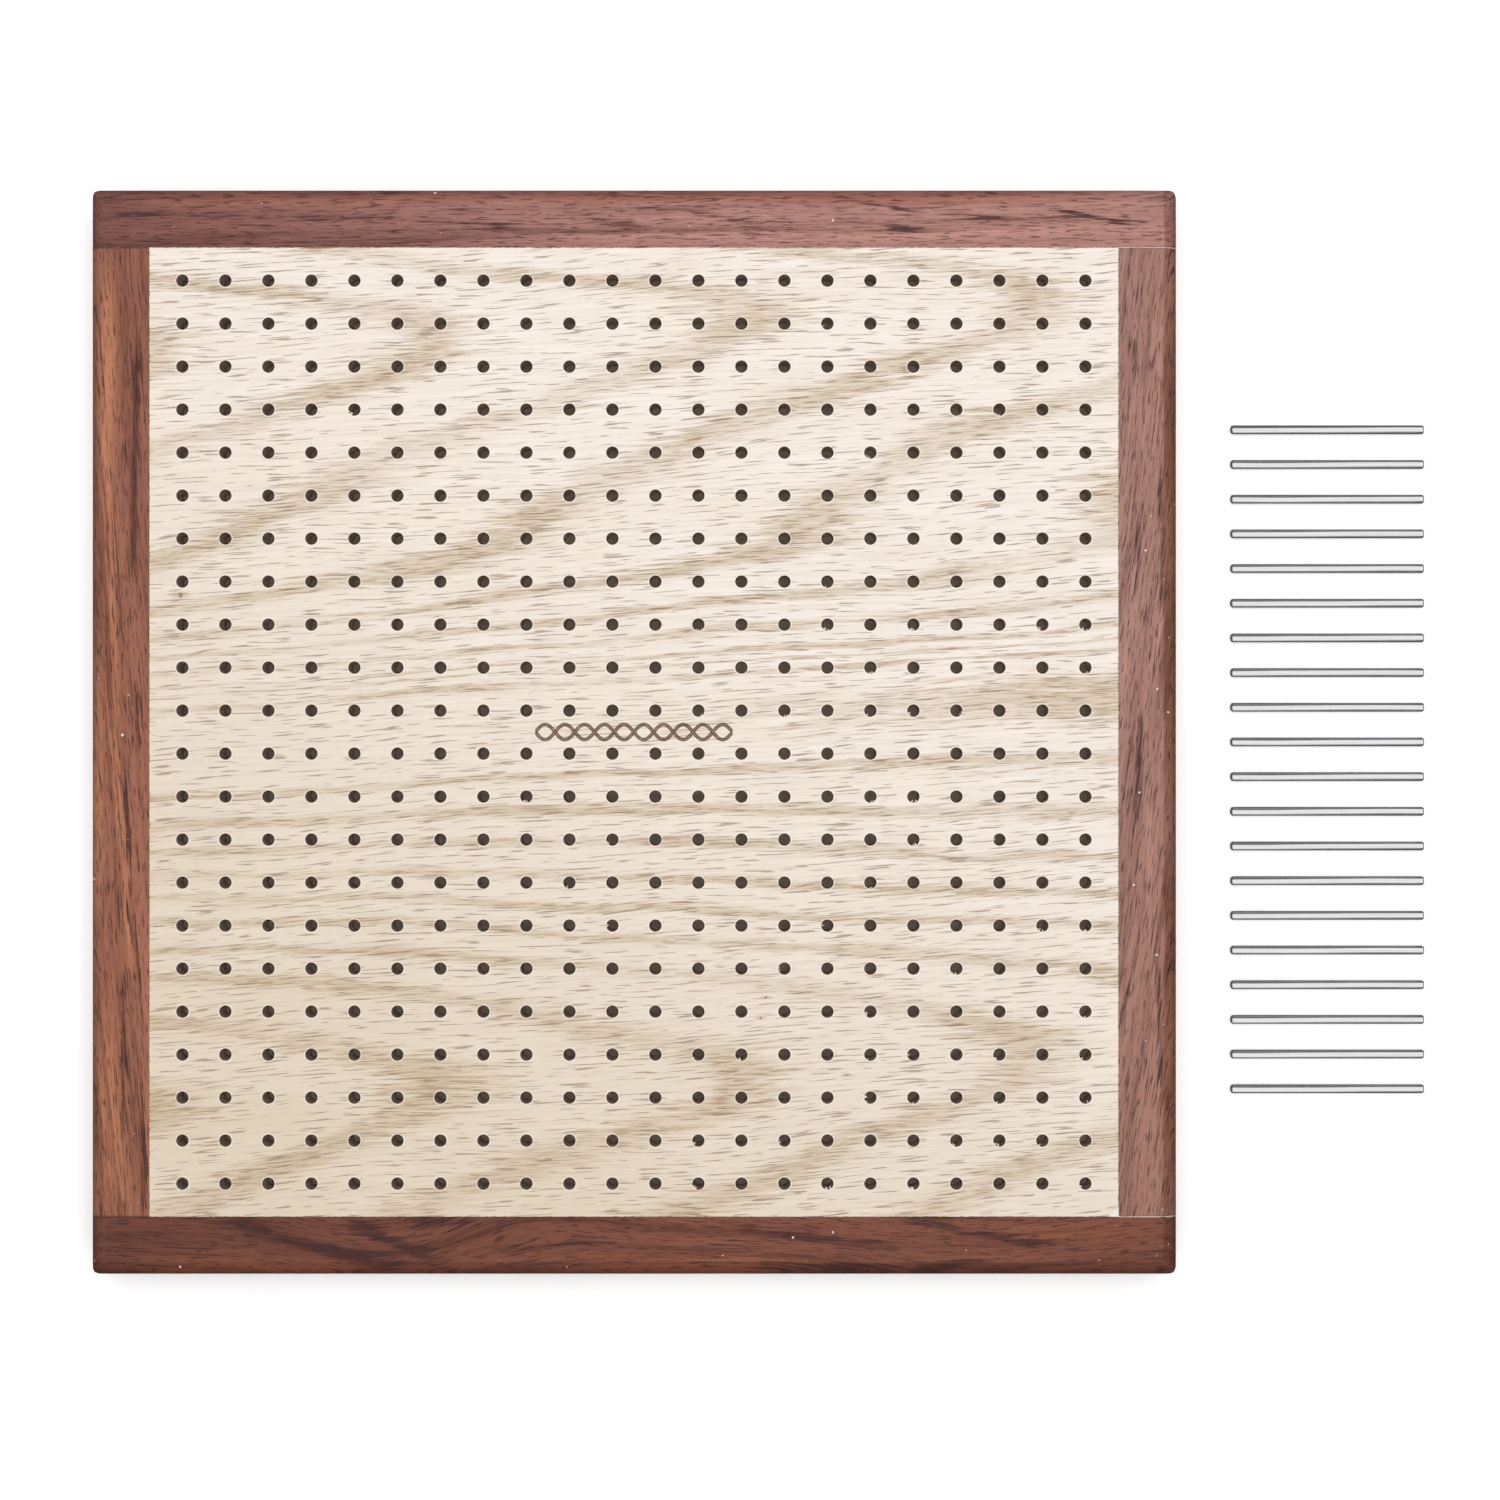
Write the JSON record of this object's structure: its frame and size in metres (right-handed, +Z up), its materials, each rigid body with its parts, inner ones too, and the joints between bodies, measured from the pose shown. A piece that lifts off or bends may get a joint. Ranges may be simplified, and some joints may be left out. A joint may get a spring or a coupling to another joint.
{
  "type": "blocking board",
  "caption": "Square peg-hole board in a rounded walnut frame, with loose steel pins beside it, for stretching crocheted or knitted squares flat.",
  "frame": {"origin": "centre of the board's underside, on the table it lies on; the loose pins beside the board don't move it", "axes": "+X to the right, towards the loose pins; +Y along the board's stiles, away from someone working at it; +Z up, out of the peg holes"},
  "size_m": [0.376, 0.3034, 0.02],
  "materials": {
    "top_rail": "satin oiled walnut",
    "bottom_rail": "satin oiled walnut",
    "left_stile": "satin oiled walnut",
    "right_stile": "satin oiled walnut",
    "face_veneer": "matt pale oak veneer",
    "panel_core": "dark board core",
    "back_board": "matt pale board",
    "dowel_wood": "plain beech",
    "pin_steel": "polished stainless steel"
  },
  "bodies": {
    "board": {"top_rail": "top_rail", "bottom_rail": "bottom_rail", "left_stile": "left_stile", "right_stile": "right_stile", "face_veneer": "face_veneer", "peg_core": "panel_core", "back_board": "back_board", "dowel_top_left_low": "dowel_wood", "dowel_top_left_high": "dowel_wood", "dowel_top_right_low": "dowel_wood", "dowel_top_right_high": "dowel_wood", "dowel_bottom_left_low": "dowel_wood", "dowel_bottom_left_high": "dowel_wood", "dowel_bottom_right_low": "dowel_wood", "dowel_bottom_right_high": "dowel_wood"},
    "pin_01": {"pin_01": "pin_steel"},
    "pin_02": {"pin_02": "pin_steel"},
    "pin_03": {"pin_03": "pin_steel"},
    "pin_04": {"pin_04": "pin_steel"},
    "pin_05": {"pin_05": "pin_steel"},
    "pin_06": {"pin_06": "pin_steel"},
    "pin_07": {"pin_07": "pin_steel"},
    "pin_08": {"pin_08": "pin_steel"},
    "pin_09": {"pin_09": "pin_steel"},
    "pin_10": {"pin_10": "pin_steel"},
    "pin_11": {"pin_11": "pin_steel"},
    "pin_12": {"pin_12": "pin_steel"},
    "pin_13": {"pin_13": "pin_steel"},
    "pin_14": {"pin_14": "pin_steel"},
    "pin_15": {"pin_15": "pin_steel"},
    "pin_16": {"pin_16": "pin_steel"},
    "pin_17": {"pin_17": "pin_steel"},
    "pin_18": {"pin_18": "pin_steel"},
    "pin_19": {"pin_19": "pin_steel"},
    "pin_20": {"pin_20": "pin_steel"}
  },
  "joints": [
    {"name": "pin_01_lift", "type": "slide", "parent": "board", "child": "pin_01", "axis": [0, 0, 1], "range_m": [0, 0.08]},
    {"name": "pin_02_lift", "type": "slide", "parent": "board", "child": "pin_02", "axis": [0, 0, 1], "range_m": [0, 0.08]},
    {"name": "pin_03_lift", "type": "slide", "parent": "board", "child": "pin_03", "axis": [0, 0, 1], "range_m": [0, 0.08]},
    {"name": "pin_04_lift", "type": "slide", "parent": "board", "child": "pin_04", "axis": [0, 0, 1], "range_m": [0, 0.08]},
    {"name": "pin_05_lift", "type": "slide", "parent": "board", "child": "pin_05", "axis": [0, 0, 1], "range_m": [0, 0.08]},
    {"name": "pin_06_lift", "type": "slide", "parent": "board", "child": "pin_06", "axis": [0, 0, 1], "range_m": [0, 0.08]},
    {"name": "pin_07_lift", "type": "slide", "parent": "board", "child": "pin_07", "axis": [0, 0, 1], "range_m": [0, 0.08]},
    {"name": "pin_08_lift", "type": "slide", "parent": "board", "child": "pin_08", "axis": [0, 0, 1], "range_m": [0, 0.08]},
    {"name": "pin_09_lift", "type": "slide", "parent": "board", "child": "pin_09", "axis": [0, 0, 1], "range_m": [0, 0.08]},
    {"name": "pin_10_lift", "type": "slide", "parent": "board", "child": "pin_10", "axis": [0, 0, 1], "range_m": [0, 0.08]},
    {"name": "pin_11_lift", "type": "slide", "parent": "board", "child": "pin_11", "axis": [0, 0, 1], "range_m": [0, 0.08]},
    {"name": "pin_12_lift", "type": "slide", "parent": "board", "child": "pin_12", "axis": [0, 0, 1], "range_m": [0, 0.08]},
    {"name": "pin_13_lift", "type": "slide", "parent": "board", "child": "pin_13", "axis": [0, 0, 1], "range_m": [0, 0.08]},
    {"name": "pin_14_lift", "type": "slide", "parent": "board", "child": "pin_14", "axis": [0, 0, 1], "range_m": [0, 0.08]},
    {"name": "pin_15_lift", "type": "slide", "parent": "board", "child": "pin_15", "axis": [0, 0, 1], "range_m": [0, 0.08]},
    {"name": "pin_16_lift", "type": "slide", "parent": "board", "child": "pin_16", "axis": [0, 0, 1], "range_m": [0, 0.08]},
    {"name": "pin_17_lift", "type": "slide", "parent": "board", "child": "pin_17", "axis": [0, 0, 1], "range_m": [0, 0.08]},
    {"name": "pin_18_lift", "type": "slide", "parent": "board", "child": "pin_18", "axis": [0, 0, 1], "range_m": [0, 0.08]},
    {"name": "pin_19_lift", "type": "slide", "parent": "board", "child": "pin_19", "axis": [0, 0, 1], "range_m": [0, 0.08]},
    {"name": "pin_20_lift", "type": "slide", "parent": "board", "child": "pin_20", "axis": [0, 0, 1], "range_m": [0, 0.08]}
  ]
}
